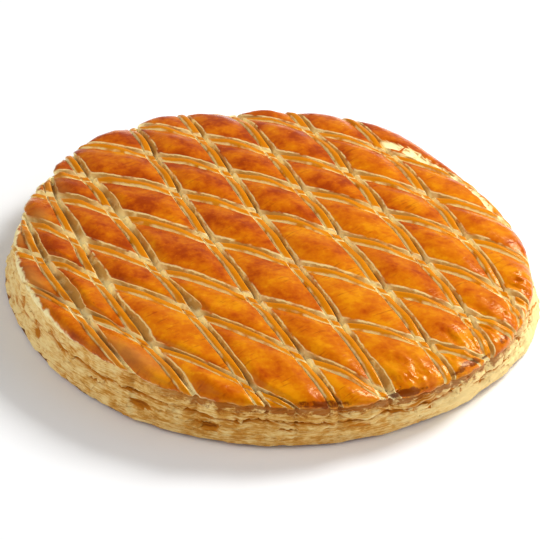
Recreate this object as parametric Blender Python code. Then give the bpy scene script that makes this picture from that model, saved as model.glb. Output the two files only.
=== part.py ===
"""A galette des rois, modelled as one closed solid.

Run with: blender --background --python part.py   (metres, +Z up, resting on z = 0)

The cake is shaped the way a baker shapes it.  A flat disc of dough is cut along two families
of paired knife strokes, laid over the filling so that it takes the domed profile, and risen
between the strokes into lozenges.  Its rim is then carried down in rings, past the seam of
the two doughs, to the flat base.
"""

import math
from collections import namedtuple

import bmesh
import bpy
import numpy as np
from mathutils import Vector

NAME = "galette"
MM = 0.001

# Driving sizes, in millimetres.
LID_RADIUS = 135.0
CROWN_HEIGHT = 36.0
LID_EDGE_HEIGHT = 26.0
BASE_RADIUS = 132.0

# The lid's edge rose unevenly: how much higher it stands towards +X and towards +Y.
EDGE_LEAN = (-4.0, -2.0)

# The lid's profile: a higher power keeps the middle flat, or rounds the shoulder more.
CROWN_POWER = 3.6
SHOULDER_POWER = 2.7

# The hand-shaped outline: how often each wave goes round, and its cosine and sine share.
OUTLINE_WAVES = ((2, 0.0, -0.019), (3, -0.008, -0.017), (4, 0.007, -0.010))

# Where dough spread out in the oven: direction, half width and how far it reaches.
Spread = namedtuple("Spread", "angle width reach")
LID_SPREADS = (
    Spread(math.radians(23.0), math.radians(28.0), 3.5),
    Spread(math.radians(65.0), math.radians(15.0), 6.3),
    Spread(math.radians(119.0), math.radians(11.5), 7.5),
    Spread(math.radians(140.0), math.radians(13.0), 7.0),
)
BASE_SPREADS = (
    Spread(math.radians(-7.0), math.radians(17.0), 8.5),
    Spread(math.radians(-150.0), math.radians(42.0), 5.4),
    Spread(math.radians(176.0), math.radians(18.0), 7.5),
    Spread(math.radians(-50.0), math.radians(20.0), -2.0),
)

# One double knife stroke: its distance from the middle, how far it turns for each
# millimetre along it, and how far it bows at the middle of the cake.
Stroke = namedtuple("Stroke", "offset turn bow")
STEEP_ANGLE = math.radians(25.4)
STEEP_STROKES = (
    Stroke(-119.5, 0.005, -9.0),
    Stroke(-95.0, 0.015, -9.0),
    Stroke(-72.0, -0.068, -1.0),
    Stroke(-28.0, -0.008, -5.5),
    Stroke(1.5, 0.023, -1.5),
    Stroke(35.0, -0.008, -2.5),
    Stroke(64.5, 0.004, 1.0),
    Stroke(95.5, -0.003, 5.0),
)
SHALLOW_ANGLE = math.radians(65.8)
SHALLOW_STROKES = (
    Stroke(-141.0, -0.295, -13.5),
    Stroke(-88.0, -0.098, 1.0),
    Stroke(-42.5, 0.053, -12.0),
    Stroke(-15.0, 0.068, -2.5),
    Stroke(9.0, 0.103, 6.5),
    Stroke(41.5, 0.111, 3.0),
    Stroke(72.5, 0.102, -1.5),
    Stroke(106.5, 0.026, 8.0),
)

# Across a stroke: the glazed rail left between the two cuts, the floor of each cut and the
# brow of the lozenge beside it, as distances from the rail's middle line.  The rail leans
# against one lozenge, so the cut on that side is nearly closed.
CUT_FLOOR_OFFSET = 2.4
BROW_OFFSET = 4.4
RAIL_DROP = 0.8
CUT_DEPTH = 3.5
CLOSED_CUT_DEPTH = 1.5
LOZENGE_SWELL = 1.7
SWELL_REACH = 15.0

# Where two strokes cross, the dough was held down: this deep, over this distance.
CROSSING_DEPTH = 1.7
CROSSING_REACH = 10.0

# The relief flattens towards the lid's edge, to this share of its height over this distance.
EDGE_RELIEF_SHARE = 0.45
EDGE_FADE_REACH = 8.0

# The side, from the lid's edge down: share of the way to the base, and how far the ring
# stands out of the straight slope between the lid's edge and the base.
SIDE_RINGS = (
    (0.20, 0.5),
    (0.33, -1.8),
    (0.44, 0.6),
    (0.70, 2.2),
    (0.90, 0.9),
    (1.00, -0.8),
)

# The side wanders in and out by about this much, in waves that go round this many times and
# shift from ring to ring by this angle.
SIDE_UNEVENNESS = 0.4
UNEVEN_ORDERS = (3, 5, 9, 14)
UNEVEN_SHIFT = 1.7

# How finely the lid is divided: round its outline, in rings inside its edge, and between
# the strokes.
OUTLINE_SEGMENTS = 84
SHOULDER_RINGS = (3.5, 4.5, 6.0)
GRID_STEP = 16.0
PROFILE_STEPS = 90
SLOPE_STEP = 1.0
UNWARP_ROUNDS = 12
CUT_SNAP = 0.01
MERGE_DISTANCE = 0.5

CRUST_COLOUR = (0.68, 0.22, 0.013, 1.0)
CRUST_ROUGHNESS = 0.35


def clear_scene():
    """Remove the objects that a new Blender file starts with."""
    for thing in list(bpy.data.objects):
        bpy.data.objects.remove(thing, do_unlink=True)


def spread_out(spreads, angle):
    """How much further the dough reaches at an angle, in millimetres."""
    reach = 0.0
    for spread in spreads:
        away = math.remainder(angle - spread.angle, math.tau) / spread.width
        reach += spread.reach * math.exp(-away * away)
    return reach


def outline_share(angle):
    """How much wider or narrower than a true circle the cake is at an angle."""
    waves = sum(
        cosine * math.cos(order * angle) + sine * math.sin(order * angle)
        for order, cosine, sine in OUTLINE_WAVES
    )
    return 1.0 + waves + spread_out(LID_SPREADS, angle) / LID_RADIUS


def crown_profile():
    """The domed profile as flat distance, radius and height, from the middle to the edge."""
    turn = np.linspace(0.0, math.pi / 2, PROFILE_STEPS)
    share = np.sin(turn)
    rise = (1.0 - share**CROWN_POWER).clip(0.0) ** (1.0 / SHOULDER_POWER)
    radius = LID_RADIUS * share
    height = LID_EDGE_HEIGHT + (CROWN_HEIGHT - LID_EDGE_HEIGHT) * rise
    steps = np.hypot(np.diff(radius), np.diff(height))
    distance = np.concatenate(([0.0], np.cumsum(steps)))
    return distance, radius, height


class Family:
    """One family of knife strokes: its direction, and how each stroke wanders."""

    def __init__(self, angle, strokes):
        self.normal = Vector((math.cos(angle), math.sin(angle)))
        self.offsets = [stroke.offset for stroke in strokes]
        knots = []
        turns = []
        bows = []
        for stroke in strokes:
            for side in (-BROW_OFFSET, BROW_OFFSET):
                knots.append(stroke.offset + side)
                turns.append(stroke.turn)
                bows.append(stroke.bow)
        self.knots = knots
        self.turns = turns
        self.bows = bows

    def wander(self, across, along, fade):
        """How far the dough at a pattern place is carried sideways by the stroke near it."""
        turn = np.interp(across, self.knots, self.turns)
        bow = np.interp(across, self.knots, self.bows)
        return turn * along + bow * fade

    def nearest(self, across):
        """Signed distance from the nearest stroke's middle line."""
        return min((across - offset for offset in self.offsets), key=abs)

    def grid_lines(self, reach):
        """Where the dough is divided: five lines a stroke, and evenly between strokes."""
        lines = []
        for offset in self.offsets:
            for step in (-BROW_OFFSET, -CUT_FLOOR_OFFSET, 0.0, CUT_FLOOR_OFFSET, BROW_OFFSET):
                lines.append(offset + step)
        stations = [-reach, *self.offsets, reach]
        for low, high in zip(stations, stations[1:]):
            parts = math.ceil((high - low - 2 * BROW_OFFSET) / GRID_STEP)
            lines.extend(np.linspace(low + BROW_OFFSET, high - BROW_OFFSET, parts + 1)[1:-1])
        return lines


class Dough:
    """The flat lid: the two families of strokes, and the way the dough lies on the dome."""

    def __init__(self):
        self.steep = Family(STEEP_ANGLE, STEEP_STROKES)
        self.shallow = Family(SHALLOW_ANGLE, SHALLOW_STROKES)
        self.distance, self.radius, self.height = crown_profile()
        self.reach = self.distance[-1]

    def across(self, place):
        """Distances of a place from the middle, across each family."""
        return self.steep.normal.dot(place), self.shallow.normal.dot(place)

    def place(self, steep, shallow):
        """The place with those two distances."""
        first = self.steep.normal
        second = self.shallow.normal
        size = first.x * second.y - first.y * second.x
        x = (steep * second.y - shallow * first.y) / size
        y = (shallow * first.x - steep * second.x) / size
        return Vector((x, y))

    def carry(self, pattern):
        """Take a place in the straight pattern to where the hand-cut strokes put it."""
        steep, shallow = self.across(pattern)
        fade = 1.0 - pattern.length_squared / self.reach**2
        moved_steep = steep + self.steep.wander(steep, shallow, fade)
        moved_shallow = shallow + self.shallow.wander(shallow, steep, fade)
        return self.place(moved_steep, moved_shallow)

    def uncarry(self, target):
        """The place in the straight pattern that is carried to the target."""
        pattern = target.copy()
        for _ in range(UNWARP_ROUNDS):
            pattern += target - self.carry(pattern)
        return pattern

    def relief(self, pattern):
        """Height above the plain dome: rails and cut floors in the strokes, swollen between."""
        steep, shallow = self.across(pattern)
        aways = (self.steep.nearest(steep), self.shallow.nearest(shallow))
        steps = (0.0, CUT_FLOOR_OFFSET, BROW_OFFSET, SWELL_REACH)
        heights = []
        for away in aways:
            depth = CUT_DEPTH if away > 0 else CLOSED_CUT_DEPTH
            heights.append(np.interp(abs(away), steps, (-RAIL_DROP, -depth, 0.0, LOZENGE_SWELL)))
        from_crossing = math.hypot(*aways) / CROSSING_REACH
        pressed = CROSSING_DEPTH * math.exp(-from_crossing * from_crossing)
        return float(min(heights)) - pressed

    def drape(self, pattern):
        """Lay a place in the pattern on the dome, with its relief along the dome's normal."""
        flat = self.carry(pattern)
        angle = math.atan2(flat.y, flat.x)
        share = outline_share(angle)
        along = min(flat.length / share, self.reach)
        inside = self.reach - along
        fade = np.interp(inside, (0.0, EDGE_FADE_REACH), (EDGE_RELIEF_SHARE, 1.0))
        radius = np.interp(along, self.distance, self.radius)
        height = np.interp(along, self.distance, self.height)
        ahead = min(along + SLOPE_STEP, self.reach)
        behind = ahead - 2 * SLOPE_STEP
        run = np.interp(ahead, self.distance, self.radius)
        run -= np.interp(behind, self.distance, self.radius)
        fall = np.interp(ahead, self.distance, self.height)
        fall -= np.interp(behind, self.distance, self.height)
        steepness = math.atan2(-fall, run)
        relief = fade * self.relief(pattern)
        lean = EDGE_LEAN[0] * math.cos(angle) + EDGE_LEAN[1] * math.sin(angle)
        height += lean * (radius / LID_RADIUS) ** 2 + relief * math.cos(steepness)
        radius = radius * share + relief * math.sin(steepness)
        return Vector((radius * math.cos(angle), radius * math.sin(angle), height))


def flat_dough(mesh, dough):
    """A flat disc in the straight pattern, divided along every stroke."""
    bmesh.ops.create_circle(mesh, cap_ends=True, segments=OUTLINE_SEGMENTS, radius=dough.reach)
    disc = mesh.faces[:]
    for width in SHOULDER_RINGS:
        bmesh.ops.inset_region(
            mesh, faces=disc, thickness=width, use_boundary=True, use_even_offset=True
        )
    for vert in mesh.verts:
        angle = math.atan2(vert.co.y, vert.co.x)
        vert.co.xy = dough.uncarry(vert.co.xy * outline_share(angle))
    for family in (dough.steep, dough.shallow):
        normal = family.normal.to_3d()
        for line in family.grid_lines(dough.reach):
            everything = mesh.verts[:] + mesh.edges[:] + mesh.faces[:]
            bmesh.ops.bisect_plane(
                mesh, geom=everything, dist=CUT_SNAP, plane_co=normal * line, plane_no=normal
            )
    bmesh.ops.remove_doubles(mesh, verts=mesh.verts[:], dist=MERGE_DISTANCE)


def unevenness(angle, ring):
    """A smooth wander of the side, unlike on every ring."""
    return SIDE_UNEVENNESS * sum(
        math.sin(order * angle + ring * (UNEVEN_SHIFT + order)) / math.sqrt(order)
        for order in UNEVEN_ORDERS
    )


def foot_radius(angle):
    """Radius of the base at an angle, where it spread and where it didn't."""
    return BASE_RADIUS * outline_share(angle) + spread_out(BASE_SPREADS, angle)


def add_side(mesh):
    """Carry the lid's edge down ring by ring, and close the last ring with the flat base."""
    edges = [edge for edge in mesh.edges if edge.is_boundary]
    rim = {vert for edge in edges for vert in edge.verts}
    rim = sorted((math.atan2(vert.co.y, vert.co.x), vert.co.xy.length, vert.co.z) for vert in rim)
    rim_angles, rim_radii, rim_heights = zip(*rim)
    for number, (share, bulge) in enumerate(SIDE_RINGS):
        made = bmesh.ops.extrude_edge_only(mesh, edges=edges)["geom"]
        edges = [item for item in made if isinstance(item, bmesh.types.BMEdge)]
        for vert in (item for item in made if isinstance(item, bmesh.types.BMVert)):
            angle = math.atan2(vert.co.y, vert.co.x)
            top_radius = np.interp(angle, rim_angles, rim_radii, period=math.tau)
            top_height = np.interp(angle, rim_angles, rim_heights, period=math.tau)
            radius = top_radius + (foot_radius(angle) - top_radius) * share + bulge
            radius += unevenness(angle, number)
            height = top_height * (1.0 - share)
            vert.co = Vector((radius * math.cos(angle), radius * math.sin(angle), height))
    bmesh.ops.contextual_create(mesh, geom=edges)


def centre(mesh):
    """Stand the cake on z = 0 with the middle of its box on the Z axis."""
    xs = [vert.co.x for vert in mesh.verts]
    ys = [vert.co.y for vert in mesh.verts]
    zs = [vert.co.z for vert in mesh.verts]
    middle = Vector(((min(xs) + max(xs)) / 2, (min(ys) + max(ys)) / 2, min(zs)))
    bmesh.ops.translate(mesh, verts=mesh.verts[:], vec=-middle)


def crust_material():
    """Egg-washed puff pastry, baked deep orange."""
    material = bpy.data.materials.new("egg_washed_puff_pastry")
    material.use_nodes = True
    shader = material.node_tree.nodes["Principled BSDF"]
    shader.inputs["Base Color"].default_value = CRUST_COLOUR
    shader.inputs["Roughness"].default_value = CRUST_ROUGHNESS
    shader.inputs["Metallic"].default_value = 0.0
    return material


def build_galette(collection):
    """Model the cake and put it in its collection."""
    dough = Dough()
    mesh = bmesh.new()
    flat_dough(mesh, dough)
    for vert in mesh.verts:
        vert.co = dough.drape(vert.co.xy)
    add_side(mesh)
    centre(mesh)
    bmesh.ops.scale(mesh, verts=mesh.verts[:], vec=(MM, MM, MM))
    bmesh.ops.triangulate(mesh, faces=mesh.faces[:])
    bmesh.ops.recalc_face_normals(mesh, faces=mesh.faces[:])
    data = bpy.data.meshes.new(NAME)
    mesh.to_mesh(data)
    mesh.free()
    data.shade_smooth()
    data.set_sharp_from_angle(angle=math.radians(50.0))
    data.materials.append(crust_material())
    thing = bpy.data.objects.new(NAME, data)
    collection.objects.link(thing)
    return thing


def main():
    clear_scene()
    collection = bpy.data.collections.new("galette_des_rois")
    bpy.context.scene.collection.children.link(collection)
    build_galette(collection)


main()
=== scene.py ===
"""The looks of a galette des rois: a glazed, knife-scored lid over a flaky laminated side.

The cake rests on z = 0 with the middle of its box on the Z axis.  Sizes are in millimetres and
are brought to metres as each piece is finished.  The pattern is the straight, even lattice that
the baker's knife aimed for; the dough is the flat lid with the strokes as the hand drew them;
the dome is the shape that the lid took over the filling.
"""

import logging
import math
from dataclasses import dataclass
from enum import Enum
from typing import NamedTuple

import bmesh
import bpy
import numpy as np
from mathutils import Matrix, Vector, noise


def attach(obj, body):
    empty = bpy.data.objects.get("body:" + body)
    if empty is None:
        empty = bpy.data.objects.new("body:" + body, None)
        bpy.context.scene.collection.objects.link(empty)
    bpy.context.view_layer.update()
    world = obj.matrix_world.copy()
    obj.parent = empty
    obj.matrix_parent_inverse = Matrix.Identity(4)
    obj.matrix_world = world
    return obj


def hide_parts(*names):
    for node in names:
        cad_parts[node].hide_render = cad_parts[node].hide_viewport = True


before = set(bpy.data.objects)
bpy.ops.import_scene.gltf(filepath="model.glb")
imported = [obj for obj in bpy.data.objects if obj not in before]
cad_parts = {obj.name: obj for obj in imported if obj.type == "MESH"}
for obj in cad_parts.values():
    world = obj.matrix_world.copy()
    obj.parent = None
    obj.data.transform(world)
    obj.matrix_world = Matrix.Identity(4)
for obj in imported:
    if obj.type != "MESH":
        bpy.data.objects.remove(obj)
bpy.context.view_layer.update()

LOG = logging.getLogger("galette")
MM = 0.001
BODY = "root"
NODE = "galette"

# The hand-shaped outline isn't even, so the middle of its box stands this far off the
# pattern's own middle.
BOX_SHIFT = np.array((-0.48, 2.71, 0.0))

# Nothing reaches past this far from the middle of the box.
HALF_BOX = np.array((143.85, 136.6, 38.2))

# Distances from a stroke's middle line at which the dough is divided and its height is given.
STATIONS = (0.0, 0.8, 1.4, 1.8, 2.1, 2.5, 3.0, 3.5, 3.9, 4.15, 4.4, 4.7, 5.2, 6.2)

Array = np.ndarray
Links = dict[str | int, object]


class Slot(Enum):
    """The record's material slots."""

    GLAZED = "glazed_crust"
    CUT = "cut_pastry"
    BROWNED = "browned_base"


class Direction(Enum):
    """The two ways in which the knife was drawn."""

    STEEP = 0
    SHALLOW = 1


class Mark(Enum):
    """What the oven or the brush left at a place on the lid."""

    BARE = 0
    SCORCH = 1
    PUCKER = 2


@dataclass(frozen=True)
class Stroke:
    """One double knife stroke: its distance from the middle, its turn and its bow."""

    offset: float
    turn: float
    bow: float


@dataclass(frozen=True)
class Gape:
    """A stretch of a stroke where one of its two cuts opened wide as the cake rose."""

    direction: Direction
    stroke: int
    side: int
    along: float
    half_length: float
    width: float


@dataclass(frozen=True)
class Spot:
    """A marked place on the lid, by direction from the middle and distance inside the edge."""

    mark: Mark
    angle: float
    inside: float
    round_length: float
    inward_length: float
    strength: float = 1.0


class TearStop(NamedTuple):
    """One stop of a tear's run: direction, distance inside the edge and half its width."""

    angle: float
    inside: float
    half: float


class Spread(NamedTuple):
    """A stretch where the dough spread further: its middle and width in degrees, and how far."""

    middle: float
    width: float
    most: float


class Sheet(NamedTuple):
    """A draped sheet of the side: where it ends, how far it stands out and how that changes.

    Its end lies at a share of the way to the seam, and then a share of the side further down.
    """

    of_seam: float
    further: float
    most: float
    change: float


class Hollow(NamedTuple):
    """A hollow in the side: direction, share of the way down, half sizes and depth."""

    angle: float
    share: float
    half_width: float
    half_height: float
    depth: float


STEEP_STROKES = (
    Stroke(-119.5, 0.005, -9.0),
    Stroke(-95.0, 0.015, -9.0),
    Stroke(-72.0, -0.068, -1.0),
    Stroke(-28.0, -0.008, -5.5),
    Stroke(1.5, 0.023, -1.5),
    Stroke(35.0, -0.008, -2.5),
    Stroke(64.5, 0.004, 1.0),
    Stroke(95.5, -0.003, 5.0),
)
SHALLOW_STROKES = (
    Stroke(-141.0, -0.295, -13.5),
    Stroke(-88.0, -0.098, 1.0),
    Stroke(-42.5, 0.053, -12.0),
    Stroke(-15.0, 0.068, -2.5),
    Stroke(9.0, 0.103, 6.5),
    Stroke(41.5, 0.111, 3.0),
    Stroke(72.5, 0.102, -1.5),
    Stroke(106.5, 0.026, 8.0),
)
GAPES = (
    Gape(Direction.STEEP, 0, 1, -112.0, 22.0, 3.2),
    Gape(Direction.STEEP, 1, 1, -75.0, 15.0, 2.2),
    Gape(Direction.STEEP, 1, 1, -122.0, 14.0, 2.2),
    Gape(Direction.STEEP, 1, 1, -32.0, 10.0, 1.2),
    Gape(Direction.STEEP, 2, 1, -8.0, 14.0, 1.8),
    Gape(Direction.SHALLOW, 0, -1, -110.0, 13.0, 4.0),
    Gape(Direction.STEEP, 1, -1, -134.0, 8.0, 2.0),
    Gape(Direction.STEEP, 2, 1, -78.0, 9.0, 3.0),
    Gape(Direction.STEEP, 4, 1, -77.0, 9.0, 2.6),
)
SPOTS = (
    Spot(Mark.BARE, 159.0, 8.0, 9.0, 6.0),
    Spot(Mark.BARE, 165.0, 18.0, 8.0, 6.0, 0.7),
    Spot(Mark.BARE, 176.0, 14.0, 7.0, 6.0),
    Spot(Mark.BARE, -176.0, 5.0, 8.0, 5.0),
    Spot(Mark.BARE, -158.0, 6.0, 16.0, 5.0),
    Spot(Mark.BARE, -123.0, 9.0, 22.0, 6.0, 0.9),
    Spot(Mark.SCORCH, -142.0, 23.0, 6.0, 2.5, 0.7),
    Spot(Mark.SCORCH, -116.0, 6.0, 8.0, 2.0, 0.6),
    Spot(Mark.SCORCH, 71.0, 10.0, 8.0, 1.8, 0.8),
    Spot(Mark.SCORCH, -43.0, 4.5, 9.0, 2.8, 1.3),
    Spot(Mark.SCORCH, -37.0, 3.0, 6.0, 1.8, 0.9),
    Spot(Mark.SCORCH, -48.0, 3.0, 6.0, 1.8, 0.8),
    Spot(Mark.SCORCH, -31.0, 4.0, 6.0, 2.4, 1.2),
    Spot(Mark.SCORCH, -22.0, 4.0, 5.0, 2.2, 0.9),
    Spot(Mark.SCORCH, -60.0, 2.0, 13.0, 2.6, 1.3),
    Spot(Mark.SCORCH, -79.0, 1.8, 20.0, 2.4, 1.3),
    Spot(Mark.PUCKER, -27.0, 17.0, 16.0, 11.0),
    Spot(Mark.PUCKER, -41.0, 19.0, 16.0, 10.0),
    Spot(Mark.PUCKER, -13.0, 11.0, 16.0, 8.0),
    Spot(Mark.PUCKER, -57.0, 15.0, 15.0, 12.0, 0.8),
)
TEARS = (
    (
        TearStop(13.0, 6.0, 0.3),
        TearStop(20.0, 8.0, 1.2),
        TearStop(27.0, 9.0, 1.3),
        TearStop(38.0, 8.5, 1.2),
        TearStop(43.0, 11.0, 1.8),
        TearStop(49.0, 14.0, 1.8),
        TearStop(54.0, 17.0, 2.4),
        TearStop(58.0, 19.0, 3.0),
        TearStop(61.0, 21.0, 1.0),
    ),
)


def rough(places: Array, size: float, seed: float, octaves: int = 3) -> Array:
    """Smooth random values at some places.

    Args:
        places: one row of coordinates a place, in millimetres.
        size: how far apart the swells are, in millimetres.
        seed: picks one of many unlike fields.
        octaves: how many ever finer swells are added.

    Returns:
        A value of about -1 to 1 for each place.
    """
    shift = Vector((17.13 * seed, 3.71 * seed, 9.37 * seed))
    return np.array(
        [noise.fractal(Vector(place) / size + shift, 1.0, 2.0, octaves) for place in places]
    )


def smooth_step(values: Array, low: float, high: float) -> Array:
    """A smooth run from 0 at low to 1 at high, whichever of the two is larger."""
    share = np.clip((values - low) / (high - low), 0.0, 1.0)
    return share * share * (3.0 - 2.0 * share)


def hump(values: Array, middle: Array | float, width: Array | float) -> Array:
    """A bell of height 1 round a middle."""
    return np.exp(-(((values - middle) / width) ** 2))


def turned(angles: Array | float, middle: float) -> Array:
    """Angles less a middle one, the short way round, in radians."""
    return (angles - middle + math.pi) % math.tau - math.pi


def points(*columns: Array) -> Array:
    """Columns of numbers as rows of three coordinates."""
    rows = np.zeros((len(columns[0]), 3))
    for number, column in enumerate(columns):
        rows[:, number] = column
    return rows


@dataclass(frozen=True)
class Outline:
    """The cake's plan and the profile of its dome."""

    lid_radius: float = 135.0
    base_radius: float = 132.0
    crown_height: float = 36.0
    edge_height: float = 26.0
    edge_lean: tuple[float, float] = (-4.0, -2.0)
    crown_power: float = 3.6
    shoulder_power: float = 2.7
    waves: tuple[tuple[int, float, float], ...] = (
        (2, 0.0, -0.019),
        (3, -0.008, -0.017),
        (4, 0.007, -0.010),
    )
    lid_spreads: tuple[Spread, ...] = (
        Spread(23.0, 28.0, 3.5),
        Spread(65.0, 15.0, 6.3),
        Spread(119.0, 11.5, 7.5),
        Spread(140.0, 13.0, 7.0),
    )
    base_spreads: tuple[Spread, ...] = (
        Spread(-7.0, 17.0, 8.5),
        Spread(-150.0, 42.0, 5.4),
        Spread(176.0, 18.0, 7.5),
        Spread(-50.0, 20.0, -2.0),
    )
    profile_steps: int = 240

    def share(self, angles: Array) -> Array:
        """How much wider or narrower than a true circle the cake is at some angles."""
        total = 1.0 + self.spread(self.lid_spreads, angles) / self.lid_radius
        for order, cosine, sine in self.waves:
            total += cosine * np.cos(order * angles) + sine * np.sin(order * angles)
        return total

    def spread(self, spreads: tuple[Spread, ...], angles: Array) -> Array:
        """How much further the dough reaches at some angles."""
        reach = np.zeros_like(angles)
        for middle, width, most in spreads:
            away = turned(angles, math.radians(middle))
            reach += most * hump(away, 0.0, math.radians(width))
        return reach

    def profile(self) -> tuple[Array, Array, Array]:
        """Flat distance, radius and height along the dome, from its middle to its edge."""
        turn = np.linspace(0.0, math.pi / 2, self.profile_steps)
        share = np.sin(turn)
        rise = (1.0 - share**self.crown_power).clip(0.0) ** (1.0 / self.shoulder_power)
        radius = self.lid_radius * share
        height = self.edge_height + (self.crown_height - self.edge_height) * rise
        steps = np.hypot(np.diff(radius), np.diff(height))
        return np.concatenate(([0.0], np.cumsum(steps))), radius, height

    def foot(self, angles: Array) -> Array:
        """Radius of the base at some angles, where it spread and where it didn't."""
        return self.base_radius * self.share(angles) + self.spread(self.base_spreads, angles)


@dataclass(frozen=True)
class Strokes:
    """One direction of knife strokes, with what lies across each of them.

    Each stroke is two cuts close together, so that a narrow glazed rail stands between them.
    """

    direction: Direction
    angle: float
    strokes: tuple[Stroke, ...]
    rail_edge: float = 2.1
    brow: float = 4.4
    closed_brow: float = 2.5
    spread_reach: float = 11.0
    wander: float = 0.7
    wander_wave: float = 22.0
    ragged: float = 0.45
    ragged_wave: float = 3.2
    uneven_wave: float = 17.0
    uneven_open: float = 1.1
    uneven_closed: float = 0.4
    wider_from: float = 10.0
    wider_to: float = -90.0
    narrowest: float = -0.7
    opening_range: tuple[float, float] = (-0.9, 7.0)
    field_step: float = 2.3

    @property
    def normal(self) -> Vector:
        """The direction across the strokes."""
        turn = math.radians(self.angle)
        return Vector((math.cos(turn), math.sin(turn), 0.0))

    @property
    def offsets(self) -> Array:
        """Each stroke's distance from the middle."""
        return np.array([stroke.offset for stroke in self.strokes])

    def lines(self, reach: float) -> list[float]:
        """Where the dough is divided: closely at each stroke, and evenly between strokes."""
        outer = STATIONS[-1]
        lines = [
            stroke.offset + side * station
            for stroke in self.strokes
            for station in STATIONS
            for side in ((-1, 1) if station else (1,))
        ]
        stops = [-reach - outer, *self.offsets, reach + outer]
        for low, high in zip(stops, stops[1:]):
            parts = max(1, math.ceil((high - low - 2 * outer) / self.field_step))
            lines.extend(np.linspace(low + outer, high - outer, parts + 1)[1:-1])
        return sorted(lines)

    def nearest(self, across: Array) -> tuple[Array, Array]:
        """The number of the nearest stroke, and the signed distance from its middle line."""
        away = across[:, None] - self.offsets[None, :]
        index = np.abs(away).argmin(axis=1)
        return index, away[np.arange(len(across)), index]

    def drift(self, across: Array, along: Array, fade: Array) -> Array:
        """How far the hand carried each place of the straight pattern sideways.

        Args:
            across: distance across the strokes.
            along: distance along them.
            fade: 1 in the middle of the cake, 0 at its edge.

        Returns:
            The sideways shift of each place.
        """
        knots = np.repeat(self.offsets, 2) + np.tile((-self.brow, self.brow), len(self.strokes))
        turns = np.repeat([stroke.turn for stroke in self.strokes], 2)
        bows = np.repeat([stroke.bow for stroke in self.strokes], 2)
        return np.interp(across, knots, turns) * along + np.interp(across, knots, bows) * fade

    def opening(self, across: Array, along: Array) -> Array:
        """How far the cuts' ragged, gaping edges push each place sideways.

        Args:
            across: distance across the strokes.
            along: distance along them.

        Returns:
            The sideways shift of each place.
        """
        index, away = self.nearest(across)
        side = np.where(away < 0, -1.0, 1.0)
        size = np.abs(away)
        lane = 40.0 * index + 500.0 * self.direction.value
        edges = points(along, lane + 9.0 * side)
        slow = rough(points(along, lane), self.wander_wave, 1.0, 2)
        ragged = rough(edges, self.ragged_wave, 2.0, 3) * self.ragged
        uneven = rough(edges, self.uneven_wave, 3.0, 2)
        steep_across = across if self.direction is Direction.STEEP else along
        wider = smooth_step(steep_across, self.wider_from, self.wider_to) + self.narrowest
        gaping = np.where(side > 0, self.uneven_open * uneven + wider, self.uneven_closed * uneven)
        for gape in GAPES:
            if gape.direction is self.direction:
                here = (index == gape.stroke) & (side == gape.side)
                gaping += here * gape.width * hump(along, gape.along, gape.half_length)
        at_rail = 0.35 * ragged + 0.15 * gaping.clip(-0.6, 0.6)
        at_brow = ragged + gaping.clip(*self.opening_range)
        within = np.clip(size / self.rail_edge, 0.0, 1.0)
        through = np.clip((size - self.rail_edge) / (self.brow - self.rail_edge), 0.0, 1.0)
        beyond = np.clip((size - self.brow) / (self.spread_reach - self.brow), 0.0, 1.0)
        shift = at_rail * within + (at_brow - at_rail) * through - at_brow * beyond
        settled = 1.0 - smooth_step(size, self.brow, self.spread_reach)
        return side * shift + self.wander * slow * settled


@dataclass(frozen=True)
class Relief:
    """Heights across a stroke at its stations, and the swelling between strokes.

    The rail leans against the lozenge on one side of it, so that one cut stands open and the
    other is nearly closed.
    """

    open_heights: tuple[float, ...] = (
        -0.4, -0.45, -0.6, -1.0, -2.0, -3.3, -3.6, -3.3, -2.6, -1.8, -0.8, -0.1, 0.15, 0.35,
    )
    closed_heights: tuple[float, ...] = (
        -0.4, -0.4, -0.5, -0.75, -1.4, -1.1, -0.4, -0.1, 0.0, 0.05, 0.1, 0.15, 0.2, 0.35,
    )
    crossing_depth: float = 1.7
    crossing_reach: float = 10.0
    rail_arch: float = 1.3
    swell: float = 1.3
    swell_reach: float = 12.0
    edge_share: float = 0.45
    edge_reach: float = 8.0
    cut_change: float = 0.3
    rail_change: float = 0.4
    broad: float = 0.45
    fine: float = 0.13
    pucker: float = 2.5
    tear_depth: float = 1.8


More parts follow.
